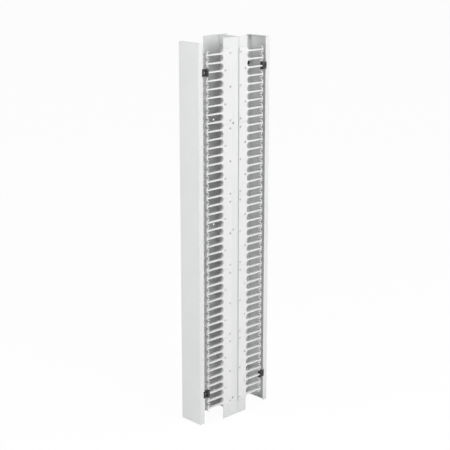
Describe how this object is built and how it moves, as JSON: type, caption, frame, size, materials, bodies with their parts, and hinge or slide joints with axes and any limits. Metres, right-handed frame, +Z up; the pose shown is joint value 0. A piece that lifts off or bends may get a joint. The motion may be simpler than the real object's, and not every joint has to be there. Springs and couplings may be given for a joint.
{
  "type": "vertical cable manager",
  "caption": "Double-sided vertical cable manager for server racks: steel spine, moulded cable fingers on all four edges, and clip-on hinged doors front and rear",
  "frame": {"origin": "centre of the footprint at the floor, on the spine's lower end", "axes": "+X right when facing the front door, +Y from the front door to the rear door, +Z up"},
  "size_m": [0.1644, 0.53, 2.1336],
  "materials": {
    "white_powder_coat": "fine-textured white powder coat",
    "white_moulding": "satin white moulded plastic",
    "black_nylon": "moulded black nylon",
    "zinc_steel": "bright zinc plate"
  },
  "bodies": {
    "spine": {"front_channel": "white_powder_coat", "rear_channel": "white_powder_coat", "channel_bolts": "zinc_steel", "channel_nuts": "zinc_steel", "front_left_finger_strip_1": "white_moulding", "front_left_finger_strip_2": "white_moulding", "front_left_finger_strip_3": "white_moulding", "front_left_finger_strip_4": "white_moulding", "front_left_finger_strip_5": "white_moulding", "front_right_finger_strip_1": "white_moulding", "front_right_finger_strip_2": "white_moulding", "front_right_finger_strip_3": "white_moulding", "front_right_finger_strip_4": "white_moulding", "front_right_finger_strip_5": "white_moulding", "rear_left_finger_strip_1": "white_moulding", "rear_left_finger_strip_2": "white_moulding", "rear_left_finger_strip_3": "white_moulding", "rear_left_finger_strip_4": "white_moulding", "rear_left_finger_strip_5": "white_moulding", "rear_right_finger_strip_1": "white_moulding", "rear_right_finger_strip_2": "white_moulding", "rear_right_finger_strip_3": "white_moulding", "rear_right_finger_strip_4": "white_moulding", "rear_right_finger_strip_5": "white_moulding", "front_left_strip_screws": "zinc_steel", "front_right_strip_screws": "zinc_steel", "rear_left_strip_screws": "zinc_steel", "rear_right_strip_screws": "zinc_steel", "front_left_low_hinge_block": "black_nylon", "front_left_high_hinge_block": "black_nylon", "front_right_low_hinge_block": "black_nylon", "front_right_high_hinge_block": "black_nylon", "rear_left_low_hinge_block": "black_nylon", "rear_left_high_hinge_block": "black_nylon", "rear_right_low_hinge_block": "black_nylon", "rear_right_high_hinge_block": "black_nylon", "front_hinge_pins": "zinc_steel", "front_block_screws": "zinc_steel", "rear_hinge_pins": "zinc_steel", "rear_block_screws": "zinc_steel"},
    "front_door_panel": {"front_door": "white_powder_coat", "front_clip_rivets": "white_powder_coat", "front_left_low_door_clip": "black_nylon", "front_left_high_door_clip": "black_nylon", "front_right_low_door_clip": "black_nylon", "front_right_high_door_clip": "black_nylon"},
    "rear_door_panel": {"rear_door": "white_powder_coat", "rear_clip_rivets": "white_powder_coat", "rear_left_low_door_clip": "black_nylon", "rear_left_high_door_clip": "black_nylon", "rear_right_low_door_clip": "black_nylon", "rear_right_high_door_clip": "black_nylon"}
  },
  "joints": [
    {"name": "front_door_hinge", "type": "hinge", "parent": "spine", "child": "front_door_panel", "pos_m": [-0.0697, -0.2305, 0.1861], "axis": [0, 0, -1], "range_deg": [0, 110]},
    {"name": "rear_door_hinge", "type": "hinge", "parent": "spine", "child": "rear_door_panel", "pos_m": [0.0697, 0.2305, 0.1861], "axis": [0, 0, -1], "range_deg": [0, 110]}
  ]
}
